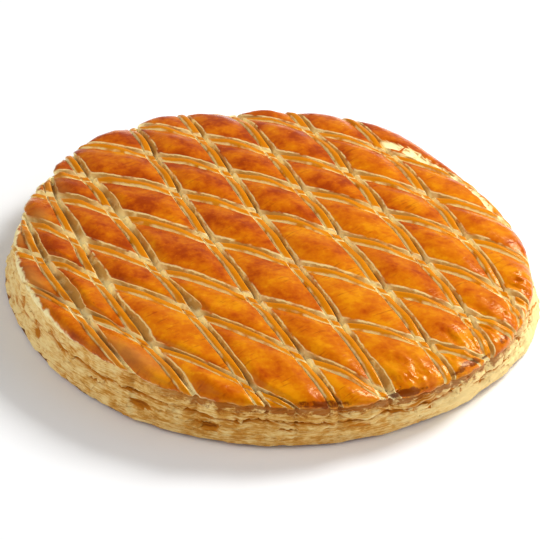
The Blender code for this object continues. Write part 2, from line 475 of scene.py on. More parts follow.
class Dough:
    """The flat lid, and the way in which it lies over the filling."""

    slope_step: float = 1.0
    unwarp_rounds: int = 14

    def __init__(self, outline: Outline) -> None:
        """Set out the strokes on a lid of the outline's size."""
        self.outline = outline
        self.relief = Relief()
        self.steep = Strokes(Direction.STEEP, 25.4, STEEP_STROKES)
        self.shallow = Strokes(Direction.SHALLOW, 65.8, SHALLOW_STROKES)
        self.distance, self.radius, self.height = outline.profile()
        self.reach = float(self.distance[-1])
        rows = (self.steep.normal.xy, self.shallow.normal.xy)
        self.to_across = np.array(rows)
        self.from_across = np.linalg.inv(self.to_across)

    def across(self, places: Array) -> tuple[Array, Array]:
        """Distances of flat places across each direction of strokes."""
        both = places[:, :2] @ self.to_across.T
        return both[:, 0], both[:, 1]

    def carry(self, pattern: Array, ragged: bool = False) -> Array:
        """Take places in the straight pattern to where the hand-cut strokes put them.

        Args:
            pattern: flat places in the straight pattern.
            ragged: whether the cuts' uneven, gaping edges count as well.

        Returns:
            The places on the flat dough.
        """
        steep, shallow = self.across(pattern)
        fade = 1.0 - (pattern[:, :2] ** 2).sum(axis=1) / self.reach**2
        shift_steep = self.steep.drift(steep, shallow, fade)
        shift_shallow = self.shallow.drift(shallow, steep, fade)
        if ragged:
            shift_steep = shift_steep + self.steep.opening(steep, shallow)
            shift_shallow = shift_shallow + self.shallow.opening(shallow, steep)
        moved = np.stack((steep + shift_steep, shallow + shift_shallow), axis=1)
        return moved @ self.from_across.T

    def uncarry(self, target: Array) -> Array:
        """The places in the straight pattern that are carried to the targets."""
        pattern = target.copy()
        for _ in range(self.unwarp_rounds):
            pattern += target - self.carry(pattern)
        return pattern

    def stroke_height(self, strokes: Strokes, across: Array, along: Array) -> Array:
        """Height of the rail, the cuts and the brow of one direction of strokes.

        Args:
            strokes: the direction of strokes.
            across: distance across the strokes.
            along: distance along them.

        Returns:
            The height above the plain dome.
        """
        index, away = strokes.nearest(across)
        size = np.abs(away)
        open_side = np.interp(size, STATIONS, self.relief.open_heights)
        closed_side = np.interp(size, STATIONS, self.relief.closed_heights)
        plain = np.where(away > 0, open_side, closed_side)
        lane = points(along, 40.0 * index + 9.0 * np.sign(away))
        change = rough(lane, 14.0, 5.0 + strokes.direction.value, 2)
        depth = 1.0 + self.relief.cut_change * change
        rail = smooth_step(size, strokes.rail_edge + 0.2, strokes.rail_edge - 0.6)
        cut = np.where(plain < 0, plain * depth, plain)
        top = plain + self.relief.rail_change * rough(lane, 7.0, 15.0, 2)
        return rail * top + (1.0 - rail) * cut

    def heights(self, pattern: Array, flat: Array) -> Array:
        """Height above the plain dome of every place on the lid.

        Args:
            pattern: places in the straight pattern.
            flat: the same places on the flat dough.

        Returns:
            The height of each place, along the dome's normal.
        """
        steep, shallow = self.across(pattern)
        cuts = np.minimum(
            self.stroke_height(self.steep, steep, shallow),
            self.stroke_height(self.shallow, shallow, steep),
        )
        steep_index, steep_away = self.steep.nearest(steep)
        shallow_index, shallow_away = self.shallow.nearest(shallow)
        start = self.steep.brow
        rise = smooth_step(np.abs(steep_away), start, self.relief.swell_reach)
        rise = rise * smooth_step(np.abs(shallow_away), start, self.relief.swell_reach)
        cells = np.random.default_rng(11).uniform(0.6, 1.35, (10, 10))
        cell = cells[
            np.searchsorted(self.steep.offsets, steep),
            np.searchsorted(self.shallow.offsets, shallow),
        ]
        from_crossing = np.hypot(steep_away, shallow_away)
        held = hump(from_crossing, 0.0, self.relief.crossing_reach)
        on_rail = np.minimum(np.abs(steep_away), np.abs(shallow_away))
        arch = self.relief.rail_arch * smooth_step(on_rail, 2.4, 1.2)
        arch = arch * smooth_step(from_crossing, 4.0, 14.0)
        broad = rough(points(*flat.T), 46.0, 7.0, 2)
        fine = rough(points(*flat.T), 4.0, 8.0, 3)
        swell = self.relief.swell * rise * cell
        pressed = self.relief.crossing_depth * held
        uneven = self.relief.broad * broad + self.relief.fine * fine
        return cuts + swell + arch - pressed + uneven

    def puckers(self, flat: Array, angles: Array, inside: Array) -> Array:
        """Small folds that run down the shoulder where the glazed skin shrank."""
        amount = marked(Mark.PUCKER, angles, inside)
        tangent = angles * self.outline.lid_radius
        folds = rough(points(tangent, inside / 2.2), 3.6, 12.0, 2)
        return self.relief.pucker * amount * folds

    def lay(self, flat: Array, relief: Array) -> Array:
        """Lay flat places on the dome.

        Args:
            flat: places on the flat dough.
            relief: height of each place above the plain dome.

        Returns:
            The places in space.
        """
        angles = np.arctan2(flat[:, 1], flat[:, 0])
        share = self.outline.share(angles)
        along = np.minimum(np.hypot(flat[:, 0], flat[:, 1]) / share, self.reach)
        fade = np.interp(
            self.reach - along,
            (0.0, self.relief.edge_reach),
            (self.relief.edge_share, 1.0),
        )
        radius = np.interp(along, self.distance, self.radius)
        height = np.interp(along, self.distance, self.height)
        ahead = np.minimum(along + self.slope_step, self.reach)
        behind = ahead - 2.0 * self.slope_step
        run = np.interp(ahead, self.distance, self.radius)
        run = run - np.interp(behind, self.distance, self.radius)
        fall = np.interp(ahead, self.distance, self.height)
        fall = fall - np.interp(behind, self.distance, self.height)
        steepness = np.arctan2(-fall, run)
        lean = self.outline.edge_lean
        tilt = lean[0] * np.cos(angles) + lean[1] * np.sin(angles)
        height = height + tilt * (radius / self.outline.lid_radius) ** 2
        height = height + fade * relief * np.cos(steepness)
        radius = radius * share + fade * relief * np.sin(steepness)
        return points(radius * np.cos(angles), radius * np.sin(angles), height)


def marked(mark: Mark, angles: Array, inside: Array) -> Array:
    """How strongly a kind of mark shows at places on the lid.

    Args:
        mark: the kind of mark.
        angles: direction of each place from the middle, in radians.
        inside: distance of each place from the lid's edge.

    Returns:
        0 to 1 for each place.
    """
    total = np.zeros_like(angles)
    for spot in SPOTS:
        if spot.mark is mark:
            round_way = turned(angles, math.radians(spot.angle)) * 135.0
            near = hump(round_way, 0.0, spot.round_length)
            total += spot.strength * near * hump(inside, spot.inside, spot.inward_length)
    return total.clip(0.0, 1.0)


def torn(angles: Array, inside: Array) -> Array:
    """Distance outside the tears where the lid's skin came away, negative within them.

    Args:
        angles: direction of each place from the middle, in radians.
        inside: distance of each place from the lid's edge.

    Returns:
        The distance in millimetres, 99 far from every tear.
    """
    least = np.full_like(angles, 99.0)
    for tear in TEARS:
        turns, insides, halves = (np.array(column) for column in zip(*tear))
        degrees = np.degrees(turned(angles, math.radians(turns.mean()))) + turns.mean()
        ragged = rough(points(angles * 135.0, inside), 3.5, 61.0, 3)
        half = np.interp(degrees, turns, halves, left=-9.0, right=-9.0)
        half = half * (1.0 + 1.1 * ragged)
        least = np.minimum(least, np.abs(inside - np.interp(degrees, turns, insides)) - half)
    return least


def divide(mesh: bmesh.types.BMesh, normal: Vector, lines: list[float]) -> None:
    """Divide a flat sheet along parallel lines, in rising order.

    Args:
        mesh: the sheet.
        normal: the direction across the lines.
        lines: their distances from the middle, sorted.
    """
    ahead = mesh.verts[:] + mesh.edges[:] + mesh.faces[:]
    for line in lines:
        cut = bmesh.ops.bisect_plane(
            mesh, geom=ahead, dist=0.02, plane_co=normal * line, plane_no=normal
        )
        faces = [
            item
            for item in cut["geom"]
            if isinstance(item, bmesh.types.BMFace)
            and normal.dot(item.calc_center_median()) > line
        ]
        edges = {edge for face in faces for edge in face.edges}
        verts = {vert for face in faces for vert in face.verts}
        ahead = [*verts, *edges, *faces]


def coordinates(mesh: bmesh.types.BMesh) -> Array:
    """Every vertex's place, in order."""
    return np.array([vert.co for vert in mesh.verts])


def place_all(mesh: bmesh.types.BMesh, places: Array) -> None:
    """Move every vertex to its place."""
    for vert, place in zip(mesh.verts, places):
        vert.co = place


@dataclass
class Piece:
    """A finished piece on its way into the scene."""

    name: str
    mesh: bmesh.types.BMesh
    material: bpy.types.Material
    slot: Slot
    traits: dict[str, Array]

    def finish(self) -> bpy.types.Object:
        """Bring the piece to metres, dress it, and let it ride with the cake."""
        places = np.clip(coordinates(self.mesh) - BOX_SHIFT, -HALF_BOX, HALF_BOX)
        place_all(self.mesh, places * MM)
        data = bpy.data.meshes.new(self.name)
        self.mesh.to_mesh(data)
        self.mesh.free()
        data.shade_smooth()
        data.materials.append(self.material)
        for trait, values in self.traits.items():
            layer = data.attributes.new(trait, "FLOAT", "POINT")
            layer.data.foreach_set("value", values.astype(np.float32))
        thing = bpy.data.objects.new(self.name, data)
        bpy.context.scene.collection.objects.link(thing)
        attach(thing, BODY)
        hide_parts(NODE)
        triangles = sum(len(face.vertices) - 2 for face in data.polygons)
        LOG.info("%s: %d triangles", self.name, triangles)
        return thing


@dataclass
class Lid:
    """The egg-washed top, scored in lozenges, with its lip turned under."""

    dough: Dough
    outline_segments: int = 720
    shoulder_rings: tuple[float, ...] = (1.0, 1.1, 1.2, 1.3, 1.4, 1.6, 1.8, 2.0)
    lip_rings: tuple[tuple[float, float], ...] = ((-0.2, -0.7), (-1.6, -1.2), (-6.0, 0.4))
    merge_distance: float = 0.12
    held_reach: float = 6.0
    droop: float = 1.5
    fine_droop: float = 0.6
    droop_reach: float = 3.0

    def sheet(self) -> bmesh.types.BMesh:
        """The flat lid in the straight pattern; each ring of its lip is 1 lower in Z."""
        mesh = bmesh.new()
        dough = self.dough
        bmesh.ops.create_circle(
            mesh, cap_ends=True, segments=self.outline_segments, radius=dough.reach
        )
        disc = mesh.faces[:]
        for width in self.shoulder_rings:
            bmesh.ops.inset_region(
                mesh, faces=disc, thickness=width, use_boundary=True, use_even_offset=True
            )
        flat = coordinates(mesh)[:, :2]
        angles = np.arctan2(flat[:, 1], flat[:, 0])
        flat = dough.uncarry(flat * dough.outline.share(angles)[:, None])
        place_all(mesh, points(*flat.T))
        for strokes in (dough.steep, dough.shallow):
            divide(mesh, strokes.normal, strokes.lines(dough.reach))
        bmesh.ops.remove_doubles(mesh, verts=mesh.verts[:], dist=self.merge_distance)
        bmesh.ops.recalc_face_normals(mesh, faces=mesh.faces[:])
        if mesh.faces[0].normal.z < 0:
            bmesh.ops.reverse_faces(mesh, faces=mesh.faces[:])
        edges = [edge for edge in mesh.edges if edge.is_boundary]
        for number in range(len(self.lip_rings)):
            made = bmesh.ops.extrude_edge_only(mesh, edges=edges)["geom"]
            edges = [item for item in made if isinstance(item, bmesh.types.BMEdge)]
            for vert in (item for item in made if isinstance(item, bmesh.types.BMVert)):
                vert.co.z = -1.0 - number
        bmesh.ops.contextual_create(mesh, geom=edges)
        wide = [face for face in mesh.faces if len(face.verts) > 4]
        bmesh.ops.triangulate(mesh, faces=wide)
        return mesh

    def build(self, material: bpy.types.Material) -> tuple[bpy.types.Object, "Rim"]:
        """Model the lid.

        Args:
            material: the crust's finish.

        Returns:
            The lid, and the run of its edge for the side to meet.
        """
        mesh = self.sheet()
        dough = self.dough
        sheet = coordinates(mesh)
        pattern = sheet[:, :2]
        ring = np.rint(-sheet[:, 2]).astype(int)
        flat = dough.carry(pattern, ragged=True)
        plain = dough.carry(pattern)
        angles = np.arctan2(flat[:, 1], flat[:, 0])
        share = dough.outline.share(angles)
        plain_angles = np.arctan2(plain[:, 1], plain[:, 0])
        inside = dough.reach - np.hypot(*plain.T) / dough.outline.share(plain_angles)
        relief = dough.heights(pattern, flat) + dough.puckers(flat, angles, inside)
        relief -= dough.relief.tear_depth * smooth_step(torn(angles, inside), 0.6, -1.2)
        length = np.hypot(*flat.T) / share
        held = np.where(inside < self.held_reach, (dough.reach - inside) / length, 1.0)
        places = dough.lay(flat * held[:, None], relief)
        tangent = points(angles * dough.outline.lid_radius)
        droop = self.droop * rough(tangent, 9.0, 21.0, 3)
        droop = droop + self.fine_droop * rough(tangent, 2.6, 22.0, 2)
        places[:, 2] += droop * smooth_step(-inside, -self.droop_reach, 0.0) - 0.2
        rim = Rim.along(places[ring == 1])
        for number, (out, down) in enumerate(self.lip_rings, start=1):
            here = ring == number
            way = np.hypot(places[here, 0], places[here, 1])
            places[here, :2] *= (1.0 + out / way)[:, None]
            places[here, 2] += down
        place_all(mesh, places)
        traits = self.traits(pattern, angles, inside)
        return Piece("glazed_lid", mesh, material, Slot.GLAZED, traits).finish(), rim

    def traits(self, pattern: Array, angles: Array, inside: Array) -> dict[str, Array]:
        """What the crust's finish follows: glaze, rails, edge and the marks of the oven."""
        steep, shallow = self.dough.across(pattern)
        glazed = np.full(len(pattern), 99.0)
        nearest = np.full(len(pattern), 99.0)
        for strokes, across in ((self.dough.steep, steep), (self.dough.shallow, shallow)):
            away = strokes.nearest(across)[1]
            size = np.abs(away)
            rail = strokes.rail_edge - size
            brow = size - np.where(away > 0, strokes.brow + 0.2, strokes.closed_brow)
            glazed = np.minimum(glazed, np.maximum(rail, brow))
            nearest = np.minimum(nearest, size)
        steep_away = self.dough.steep.nearest(steep)[1]
        shallow_away = self.dough.shallow.nearest(shallow)[1]
        columns = np.searchsorted(self.dough.steep.offsets, steep)
        lines = np.searchsorted(self.dough.shallow.offsets, shallow)
        tones = np.random.default_rng(4).uniform(-1.0, 1.0, (10, 10))
        tear = torn(angles, inside)
        glazed = np.minimum(glazed, tear)
        from_crossing = np.hypot(steep_away, shallow_away)
        return {
            "glazed": glazed,
            "tone": tones[columns, lines],
            "from_crossing": np.where(tear < 0.4, 0.0, from_crossing),
            "from_stroke": nearest,
            "from_edge": inside.clip(0.0, 40.0),
            "bare": marked(Mark.BARE, angles, inside),
            "scorch": marked(Mark.SCORCH, angles, inside),
        }


@dataclass(frozen=True)
class Rim:
    """The run of the lid's edge: its radius and height at rising angles."""

    angles: Array
    radii: Array
    heights: Array

    @classmethod
    def along(cls, places: Array) -> "Rim":
        """Read the run from the places of the edge."""
        angles = np.arctan2(places[:, 1], places[:, 0])
        order = np.argsort(angles)
        radii = np.hypot(places[:, 0], places[:, 1])
        return cls(angles[order], radii[order], places[order, 2])

    def radius(self, angles: Array) -> Array:
        """Radius of the edge at some angles."""
        return np.interp(angles, self.angles, self.radii, period=math.tau)

    def height(self, angles: Array) -> Array:
        """Height of the edge at some angles."""
        return np.interp(angles, self.angles, self.heights, period=math.tau)


@dataclass(frozen=True)
class Wall:
    """Places on the side: direction, share of the way down, and lengths along and down it."""

    angles: Array
    down: Array
    around: Array
    depth: Array

    def field(self, size: float, seed: float, octaves: int = 2, flatter: float = 1.0) -> Array:
        """Smooth random values over the side, flatter being how much wider they are than high."""
        return rough(points(self.around / flatter, self.depth), size, seed, octaves)

    def ring(self, size: float, seed: float, octaves: int = 2) -> Array:
        """Smooth random values that change only round the cake."""
        return rough(points(self.around), size, seed, octaves)

    def facing(self, middle: float, width: float) -> Array:
        """How much a place faces a direction, both in degrees: 1 there, 0 away from it."""
        return hump(turned(self.angles, math.radians(middle)), 0.0, math.radians(width))

    def cells(self, wide: float, high: float) -> Array:
        """Distance inside the nearest border of a net of uneven cells: 0 at a border."""
        gaps = []
        for around, depth in zip(self.around / wide, self.depth / high):
            near = noise.voronoi(Vector((around, depth, 0.5)))[0]
            gaps.append(near[1] - near[0])
        return np.array(gaps)


@dataclass(frozen=True)
class Faces:
    """How much each place faces the front, the left and the right, where the oven was unlike."""

    front: Array
    left: Array
    right: Array

    @classmethod
    def of(cls, wall: Wall) -> "Faces":
        """Read them from the places' directions."""
        return cls(
            wall.facing(-75.0, 55.0), wall.facing(-172.0, 48.0), wall.facing(-18.0, 42.0)
        )


@dataclass
class Side:
    """The laminated side: lip, seam, draped sheets, hollows and belly, down to the base."""

    outline: Outline
    rim: Rim
    rings: int = 104
    steps: int = 900
    tuck_share: float = 0.04
    tuck: float = 5.0
    base_height: float = 0.7
    seam: float = 0.31
    lip: float = 0.5
    groove_depth: tuple[float, float] = (0.2, 4.8)
    pleat_depth: float = 1.2
    pleat_width: float = 17.0
    sheet_end: float = 0.018
    sheet_hang: float = 0.8
    thickest_sheet: float = 2.2
    net: tuple[float, float] = (15.0, 5.0)
    crease_depth: float = 1.2
    pillow: float = 1.2
    layer_height: float = 1.35
    layer: float = 0.17
    front_layer: float = 0.15
    belly: float = 1.3
    foot_tuck: float = 1.5
    deepest: float = 1.6
    sheets: tuple[Sheet, ...] = (
        Sheet(0.45, 0.0, 0.5, 0.3),
        Sheet(0.92, 0.0, 1.5, 0.3),
        Sheet(1.0, 0.16, 1.0, 1.5),
        Sheet(1.0, 0.35, 0.8, 1.4),
        Sheet(0.0, 0.93, 0.6, 1.0),
    )
    hollows: tuple[Hollow, ...] = (
        Hollow(-118.0, 0.58, 7.0, 0.09, 3.4),
        Hollow(-102.0, 0.60, 8.5, 0.10, 3.8),
        Hollow(-131.0, 0.52, 5.0, 0.07, 2.2),
        Hollow(-86.0, 0.52, 6.0, 0.06, 2.4),
        Hollow(-70.0, 0.50, 9.0, 0.06, 2.6),
        Hollow(-55.0, 0.49, 7.0, 0.05, 2.2),
        Hollow(-152.0, 0.60, 5.0, 0.08, 1.8),
        Hollow(-38.0, 0.55, 5.0, 0.07, 1.8),
        Hollow(-22.0, 0.62, 4.0, 0.06, 1.6),
        Hollow(35.0, 0.55, 9.0, 0.08, 2.4),
        Hollow(80.0, 0.60, 8.0, 0.08, 2.8),
        Hollow(128.0, 0.55, 10.0, 0.08, 2.6),
    )

    def tube(self) -> bmesh.types.BMesh:
        """A tube of radius 1 from z = 1 down to z = 0, turned from one upright line."""
        mesh = bmesh.new()
        top = bmesh.ops.create_vert(mesh, co=(1.0, 0.0, 1.0))["vert"]
        foot = bmesh.ops.extrude_vert_indiv(mesh, verts=top)["verts"]
        bmesh.ops.translate(mesh, verts=foot, vec=(0.0, 0.0, -1.0))
        bmesh.ops.subdivide_edges(mesh, edges=mesh.edges[:], cuts=self.rings - 1)
        bmesh.ops.spin(
            mesh,
            geom=mesh.verts[:] + mesh.edges[:],
            cent=(0.0, 0.0, 0.0),
            axis=(0.0, 0.0, 1.0),
            angle=math.tau,
            steps=self.steps,
            use_merge=True,
        )
        ends = [edge for edge in mesh.edges if edge.is_boundary]
        bmesh.ops.holes_fill(mesh, edges=ends, sides=0)
        bmesh.ops.recalc_face_normals(mesh, faces=mesh.faces[:])
        return mesh

    def build(self, material: bpy.types.Material) -> bpy.types.Object:
        """Model the side.

        Args:
            material: the laminated pastry's finish.

        Returns:
            The side.
        """
        mesh = self.tube()
        tube = coordinates(mesh)
        angles = np.arctan2(tube[:, 1], tube[:, 0])
        share = (1.0 - tube[:, 2] - self.tuck_share) / (1.0 - self.tuck_share)
        places, traits = self.surface(angles, share)
        place_all(mesh, places)
        return Piece("laminated_side", mesh, material, Slot.CUT, traits).finish()

    def surface(self, angles: Array, share: Array) -> tuple[Array, dict[str, Array]]:
        """Where the side runs.

        Args:
            angles: direction of each place from the middle.
            share: share of the way from the lid's edge to the base; negative inside the lid.

        Returns:
            The places, and what the finish follows at each of them.
        """
        down = share.clip(0.0, 1.0)
        top_radius = self.rim.radius(angles)
        top_height = self.rim.height(angles)
        wall = Wall(angles, down, angles * self.outline.lid_radius, down * top_height)
        reach, drop, recess = self.forms(wall)
        radius = top_radius + (self.outline.foot(angles) - top_radius) * down + reach
        height = top_height * (1.0 - down) - drop
        height = self.base_height + height * (1.0 - self.base_height / top_height)
        tucked = (-share / self.tuck_share).clip(0.0, 1.0)
        radius -= 0.4 * (1.0 - smooth_step(down, 0.0, 0.04)) + self.tuck * tucked
        height -= 0.3 * tucked
        places = points(radius * np.cos(angles), radius * np.sin(angles), height)
        return places, {"recess": recess, "down": down}

    def seam_line(self, wall: Wall) -> Array:
        """How far down the seam of the two doughs runs, as a share."""
        return self.seam + 0.05 * wall.ring(30.0, 31.0) + 0.02 * wall.ring(7.0, 30.0)

    def forms(self, wall: Wall) -> tuple[Array, Array, Array]:
        """The side's relief.

        Args:
            wall: places on the side.

        Returns:
            How far each place stands out, how far it hangs down, and how recessed it is.
        """
        down = wall.down
        faces = Faces.of(wall)
        left = faces.left
        seam = self.seam_line(wall)
        standing, drop = self.draped(wall, faces, seam)
        groove = self.groove(wall, faces, seam)
        pleat = self.pleat(wall, faces, seam)
        hollow = self.hollow(wall)
        net = wall.cells(*self.net)
        crease = (1.0 - smooth_step(net, 0.0, 0.26)) * (0.1 + 0.6 * left)
        crease = crease * (0.5 + 1.1 * wall.field(12.0, 40.0)).clip(0.0, 1.0)
        crease = crease * smooth_step(down, 0.02, 0.12)
        pillow = self.pillow * (smooth_step(net, 0.0, 0.6) - 1.4) * left
        stripes = np.sin(math.tau * (wall.depth / self.layer_height + 1.6 * wall.field(22.0, 35.0)))
        layered = (0.5 + 0.9 * wall.field(11.0, 36.0)).clip(0.0, 1.0) * (1.0 - 0.6 * left)
        layers = (self.layer + self.front_layer * faces.front) * layered * stripes
        belly = self.belly * hump(down, 0.74, 0.17)
        foot = self.foot_tuck * smooth_step(down, 0.95, 1.0)
        fine = 0.09 * wall.field(2.4, 38.0, 3) + 0.45 * wall.field(9.0, 39.0, 2, 1.6)
        lip = self.lip * hump(down, 0.5 * seam, 0.42 * seam)
        reach = lip + standing + belly + pillow + fine + layers - hollow - foot
        reach = reach - groove - self.pleat_depth * pleat - self.crease_depth * crease
        reach = reach * smooth_step(down, 0.0, 0.04)
        # Recess darkens the side's colour where it stands back, in the groove, hollows, creases and
        # pleats and between the layers: partly the pastry's own browning, partly painted shade.
        behind = (0.9 - 1.6 * left - reach).clip(0.0, 1.0) * smooth_step(down, 0.1, 0.3)
        between = layered * (0.5 - 0.5 * stripes) * smooth_step(down, 0.0, 0.1)
        recess = 0.32 * (groove + hollow) + 0.55 * crease + 0.40 * pleat
        recess = recess + 0.22 * behind + 0.4 * between
        return reach, drop, recess.clip(0.0, self.deepest)

    def draped(self, wall: Wall, faces: Faces, seam: Array) -> tuple[Array, Array]:
        """The sheets that lie over one another, each standing out most at its lower end.

        Args:
            wall: places on the side.
            faces: how much they face each way.
            seam: how far down the seam runs at each of them.

        Returns:
            How far each place stands out, and how far it hangs down.
        """
        down = wall.down
        end = self.sheet_end
        reach = np.zeros_like(down)
        drop = np.zeros_like(down)
        last = np.zeros_like(down)
        uneven = (0.7 + 0.5 * faces.front + 0.2 * faces.right) * (1.0 - 0.35 * faces.left)
        for number, sheet in enumerate(self.sheets):
            line = sheet.of_seam * seam + sheet.further
            line = line + 0.028 * wall.ring(8.0, 33.0 + number, 3)
            size = sheet.most + sheet.change * wall.ring(17.0, 44.0 + number)
            size = size.clip(0.0, self.thickest_sheet) * uneven
            along = ((down - last) / (line - last).clip(0.02)).clip(0.0, 1.0)
            reach += size * along**1.6 * (1.0 - smooth_step(down, line, line + end))
            if sheet is not self.sheets[-1]:
                drop += self.sheet_hang * size * hump(down, line, end)
            last = line
        drop = drop * (1.0 - smooth_step(down, 0.8, 0.95)) * smooth_step(down, 0.02, 0.1)
        return reach, drop

    def groove(self, wall: Wall, faces: Faces, seam: Array) -> Array:
        """Depth of the groove under the lid's dough, sharp above and soft below."""
        depth = 0.8 + 2.6 * faces.front + 0.9 * faces.right + 1.2 * wall.ring(13.0, 32.0)
        above = hump(wall.down, seam, 0.022)
        below = hump(wall.down, seam, 0.07)
        return depth.clip(*self.groove_depth) * np.where(wall.down < seam, above, below)

    def pleat(self, wall: Wall, faces: Faces, seam: Array) -> Array:
        """How deep in one of the short upright folds under the lid's edge each place is."""
        lean = Wall(wall.angles, wall.down, wall.around, wall.depth * 0.12)
        pleat = 1.0 - smooth_step(lean.cells(self.pleat_width, 1.0), 0.02, 0.20)
        pleat = pleat * (0.1 + 0.5 * faces.front + 0.7 * faces.right).clip(0.0, 0.9)
        return pleat * (1.0 - smooth_step(wall.down, seam + 0.02, seam + 0.3))

    def hollow(self, wall: Wall) -> Array:
        """Depth of the hollows where the sheets parted."""
        depth = np.zeros_like(wall.down)
        for place in self.hollows:
            across = turned(wall.angles, math.radians(place.angle)) * self.outline.lid_radius
            half = 0.9 * place.half_width * (1.0 + 0.35 * wall.field(4.0, 50.0))
            inside = np.hypot(across / half, (wall.down - place.share) / place.half_height)
            depth += 0.6 * place.depth * (1.0 - smooth_step(inside, 0.35, 1.2))
        return depth


@dataclass
class Flakes:
    """Thin torn sheets of pastry that lift off the side, each with a ragged lower edge."""

    side: Side
    seed: int = 5
    count: int = 130
    springs: tuple[float, ...] = (0.27, 0.44, 0.63)
    lengths: tuple[float, float] = (5.0, 15.0)
    heights: tuple[float, float] = (1.6, 4.2)
    lifts: tuple[float, float] = (0.25, 1.0)
    sunk: float = 0.45
    lowest: float = 1.2
    columns: int = 9
    rows: int = 4
    thickness: float = 0.28

    def build(self, material: bpy.types.Material) -> bpy.types.Object:
        """Model the flakes.

        Args:
            material: the laminated pastry's finish.

        Returns:
            The flakes, as one piece.
        """
        random = np.random.default_rng(self.seed)
        whole = bmesh.new()
        for _ in range(self.count):
            angle = random.uniform(-180.0, 180.0)
            self.add(whole, random, angle, random.choice(self.springs))
        count = len(whole.verts)
        traits = {"recess": np.full(count, 0.12), "down": np.full(count, 0.5)}
        return Piece("lifted_flakes", whole, material, Slot.CUT, traits).finish()

    def add(
        self, whole: bmesh.types.BMesh, random: np.random.Generator, angle: float, share: float
    ) -> None:
        """Add one flake.

        Args:
            whole: the flakes so far.
            random: the source of its sizes.
            angle: its direction from the middle, in degrees.
            share: how far down the side it springs.
        """
        long = random.uniform(*self.lengths)
        high = random.uniform(*self.heights)
        lift = random.uniform(*self.lifts)
        ragged = random.uniform(-1.0, 1.0, self.columns + 1)
        flake = bmesh.new()
        bmesh.ops.create_grid(flake, x_segments=self.columns, y_segments=self.rows, size=1.0)
        flat = coordinates(flake)
        across = flat[:, 0]
        fall = (1.0 - flat[:, 1]) / 2.0
        edge = np.interp(across, np.linspace(-1.0, 1.0, self.columns + 1), ragged)
        taper = np.sqrt((1.0 - 0.9 * across**2).clip(0.05, 1.0))
        length = high * taper * (1.0 + 0.3 * edge)
        turn = math.radians(angle) + across * long / 2.0 / self.side.outline.lid_radius
        down = share + random.uniform(-0.02, 0.02) + across * random.uniform(-0.03, 0.03)
        height_here = self.side.rim.height(turn)
        top, _ = self.side.surface(turn, np.minimum(down, 0.9))
        low, _ = self.side.surface(turn, np.minimum(down + length / height_here, 0.97))
        places = top + (low - top) * fall[:, None]
        outward = points(np.cos(turn), np.sin(turn))
        stand = -self.sunk + (self.sunk + lift) * fall**0.7 + 0.12 * edge * fall
        places = places + outward * stand[:, None]
        places[:, 2] = np.maximum(places[:, 2], self.lowest)
        place_all(flake, places)
        bmesh.ops.recalc_face_normals(flake, faces=flake.faces[:])
        bmesh.ops.solidify(flake, geom=flake.faces[:], thickness=self.thickness)
        bmesh.ops.recalc_face_normals(flake, faces=flake.faces[:])
        data = bpy.data.meshes.new("flake")
        flake.to_mesh(data)
        flake.free()
        whole.from_mesh(data)
        bpy.data.meshes.remove(data)


@dataclass
class Underside:
    """The browned base that lay on the tray."""

    outline: Outline
    segments: int = 600
    thickness: float = 1.6
    set_back: float = 1.0
    dent: float = 0.5
    edge_lift: float = 0.35
    rings: tuple[float, ...] = (1.5, 2.0, 4.0, 8.0, 12.0, 16.0, 20.0, 24.0)

    def build(self, material: bpy.types.Material) -> bpy.types.Object:
        """Model the base.

        Args:
            material: the browned pastry's finish.

        Returns:
            The base.
        """
        mesh = bmesh.new()
        bmesh.ops.create_circle(mesh, cap_ends=True, segments=self.segments, radius=1.0)
        disc = mesh.faces[:]
        for width in self.rings:
            bmesh.ops.inset_region(
                mesh,
                faces=disc,
                thickness=width / self.outline.base_radius,
                use_boundary=True,
                use_even_offset=True,
            )
        made = bmesh.ops.extrude_face_region(mesh, geom=mesh.faces[:])["geom"]
        for vert in (item for item in made if isinstance(item, bmesh.types.BMVert)):
            vert.co.z = 1.0
        unit = coordinates(mesh)
        angles = np.arctan2(unit[:, 1], unit[:, 0])
        radius = (self.outline.foot(angles) - self.set_back) * np.hypot(unit[:, 0], unit[:, 1])
        places = points(radius * np.cos(angles), radius * np.sin(angles), np.zeros_like(angles))
        dents = rough(places, 9.0, 41.0, 3).clip(0.0, 1.0) * self.dent
        edge = smooth_step(np.hypot(unit[:, 0], unit[:, 1]), 0.985, 1.0)
        under = unit[:, 2] < 0.5
        places[:, 2] = np.where(under, dents + self.edge_lift * edge, self.thickness)
        places[under, :2] *= 1.0 - 0.008 * edge[under, None]
        place_all(mesh, places)
        bmesh.ops.recalc_face_normals(mesh, faces=mesh.faces[:])
        return Piece("browned_underside", mesh, material, Slot.BROWNED, {}).finish()


def srgb(code: str) -> tuple[float, float, float, float]:
    """Turn an sRGB hex colour to the linear one that the shaders take."""
    channels = [int(code[start : start + 2], 16) / 255.0 for start in (1, 3, 5)]
    linear = [
        value / 12.92 if value <= 0.04045 else ((value + 0.055) / 1.055) ** 2.4
        for value in channels
    ]
    return (*linear, 1.0)


def add_node(
    tree: bpy.types.NodeTree, kind: str, inputs: Links, **settings: object
) -> bpy.types.Node:
    """Add a node with its settings, values and links.

    Args:
        tree: the material's node tree.
        kind: the node's type.
        inputs: a value or an output socket for each input, by name or number.
        settings: the node's own properties.

    Returns:
        The node.
    """
    made = tree.nodes.new(kind)
    for name, value in settings.items():
        setattr(made, name, value)
    for key, value in inputs.items():
        if isinstance(value, bpy.types.NodeSocket):
            tree.links.new(value, made.inputs[key])
        else:
            made.inputs[key].default_value = value
    return made


